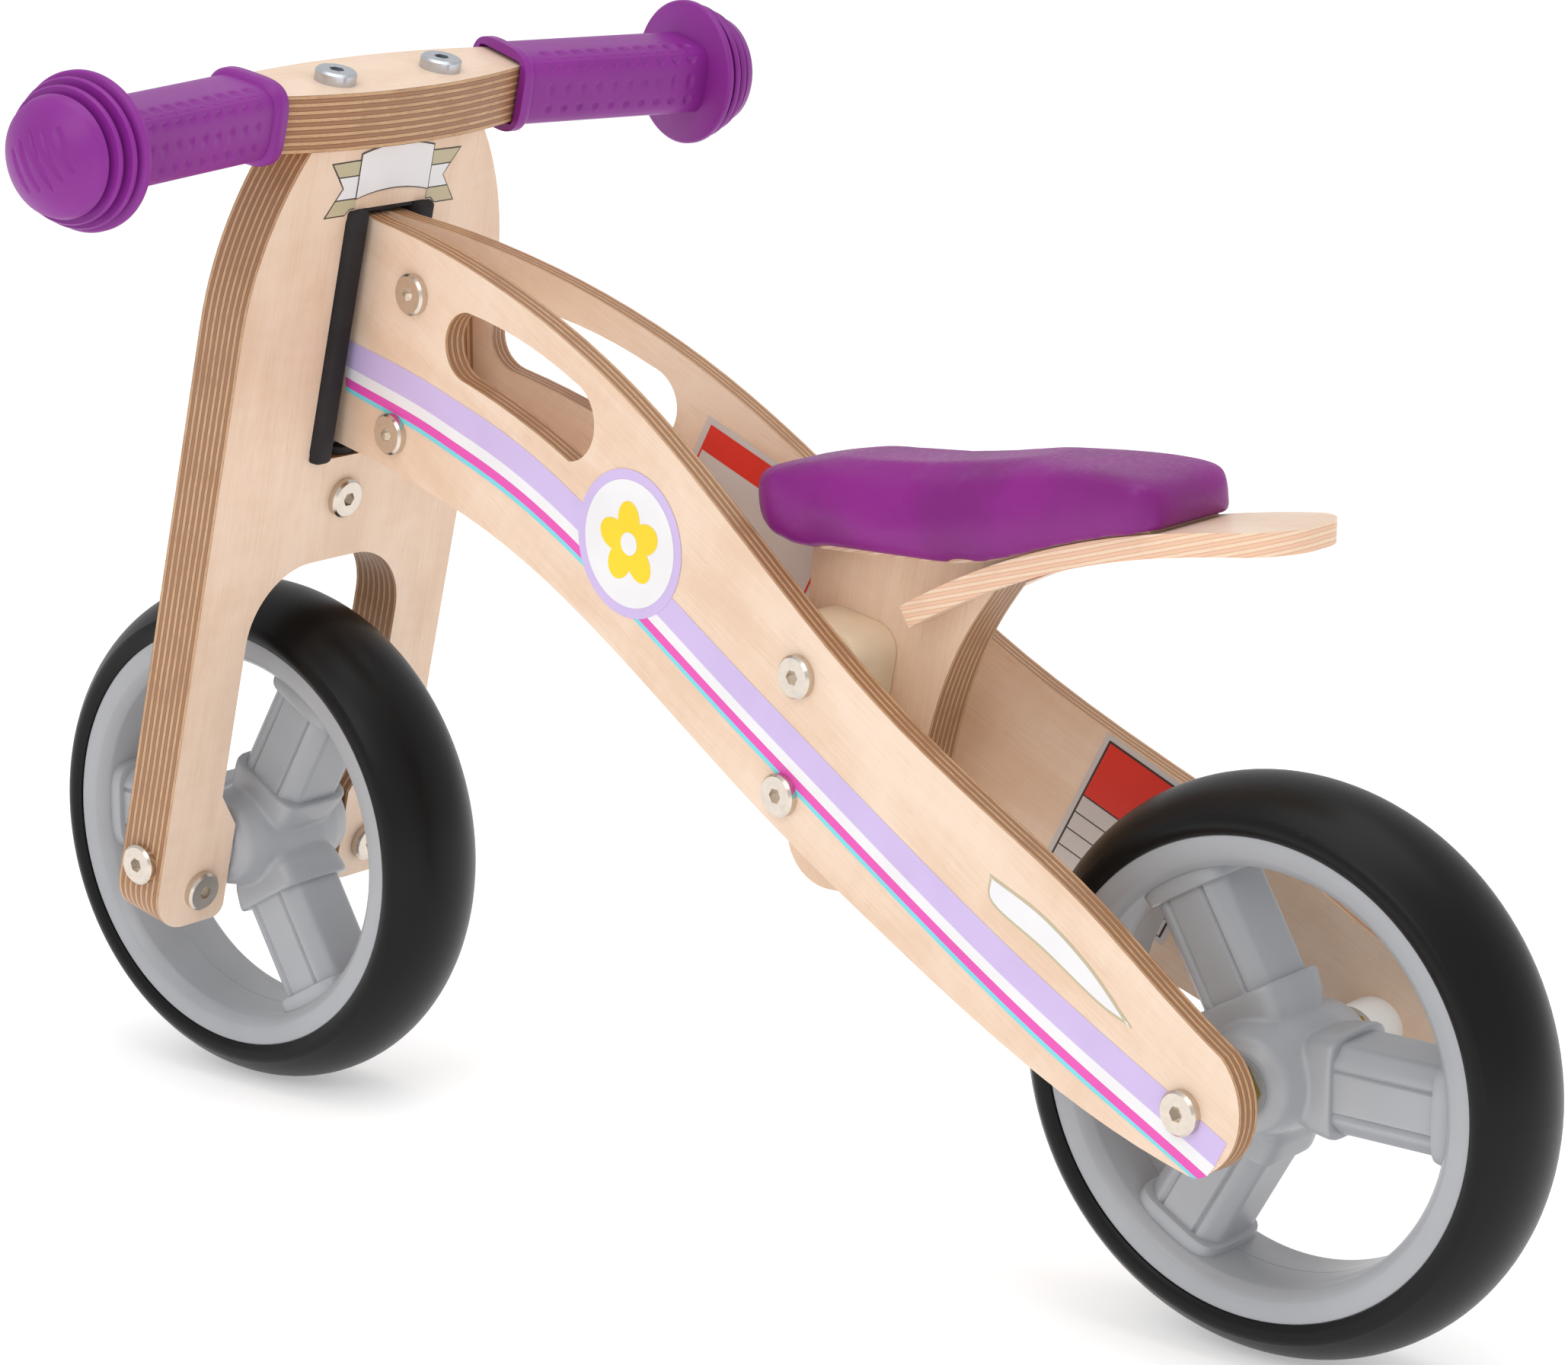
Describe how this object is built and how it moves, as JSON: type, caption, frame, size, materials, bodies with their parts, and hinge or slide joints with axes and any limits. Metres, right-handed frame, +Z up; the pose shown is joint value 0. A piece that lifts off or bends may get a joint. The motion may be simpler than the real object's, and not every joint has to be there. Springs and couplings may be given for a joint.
{
  "type": "wooden balance bike",
  "caption": "Child's wooden balance bike: V-shaped plywood side boards, slotted board fork with flat handlebar, padded seat on a sliding post and spoked foam-tyred wheels.",
  "frame": {"origin": "on the floor, midway between the two wheel axles, on the bike's middle plane", "axes": "+X forward, +Y to the rider's left, +Z up"},
  "size_m": [0.6766, 0.372, 0.4169],
  "materials": {
    "plywood": "clear-coated birch plywood",
    "steel": "plain turned steel",
    "nickel": "satin nickel plate",
    "zinc": "bright zinc plate",
    "cream_plastic": "smooth moulded",
    "white_plastic": "smooth moulded",
    "grip": "soft moulded, dimpled",
    "foam_rubber": "matte foam rubber",
    "wheel_plastic": "silver-grey moulded",
    "bush_plastic": "smooth moulded",
    "tyre": "smooth foam tread",
    "upholstery": "smooth leatherette"
  },
  "bodies": {
    "frame": {"left_side_board": "plywood", "right_side_board": "plywood", "head_wedge": "plywood", "steering_tube": "steel", "head_bolts": "nickel", "head_nuts": "nickel", "seat_clamp_bolts": "nickel", "seat_clamp_nuts": "nickel", "seat_spacer_left": "cream_plastic", "seat_spacer_right": "cream_plastic", "rear_axle": "steel", "rear_axle_bolts": "nickel", "rear_axle_nuts": "zinc", "rear_spacers": "white_plastic"},
    "steering": {"fork_board": "plywood", "handlebar": "plywood", "grip_left": "grip", "grip_right": "grip", "handlebar_bolts": "zinc", "handlebar_barrel_nuts": "zinc", "steering_pin": "steel", "pin_lock_bolt": "nickel", "stop_rubber_left": "foam_rubber", "stop_rubber_right": "foam_rubber", "slot_top_pad": "foam_rubber", "thrust_washers": "foam_rubber", "leg_bolts": "nickel", "leg_nuts": "nickel", "front_axle": "steel", "front_axle_bolts": "nickel"},
    "front_wheel": {"front_wheel_left_half": "wheel_plastic", "front_wheel_right_half": "wheel_plastic", "front_tyre": "tyre", "front_wheel_bushes": "bush_plastic"},
    "rear_wheel": {"rear_wheel_left_half": "wheel_plastic", "rear_wheel_right_half": "wheel_plastic", "rear_tyre": "tyre", "rear_wheel_bushes": "bush_plastic"},
    "seat": {"seat_post": "plywood", "seat_plate": "plywood", "seat_base": "plywood", "seat_cushion": "upholstery", "seat_screws": "steel"}
  },
  "joints": [
    {"name": "steering_turn", "type": "hinge", "parent": "frame", "child": "steering", "pos_m": [0.2383, 0, 0.1], "axis": [-0.2357, 0, 0.9718], "range_deg": [-28, 28], "deforming": ["stop_rubber_left", "stop_rubber_right"]},
    {"name": "front_wheel_spin", "type": "hinge", "parent": "steering", "child": "front_wheel", "pos_m": [0.2383, 0, 0.1], "axis": [0, 1, 0], "continuous": true},
    {"name": "rear_wheel_spin", "type": "hinge", "parent": "frame", "child": "rear_wheel", "pos_m": [-0.2383, 0, 0.1], "axis": [0, 1, 0], "continuous": true},
    {"name": "seat_height", "type": "slide", "parent": "frame", "child": "seat", "axis": [-0.1892, 0, 0.9819], "range_m": [0, 0.028]}
  ]
}
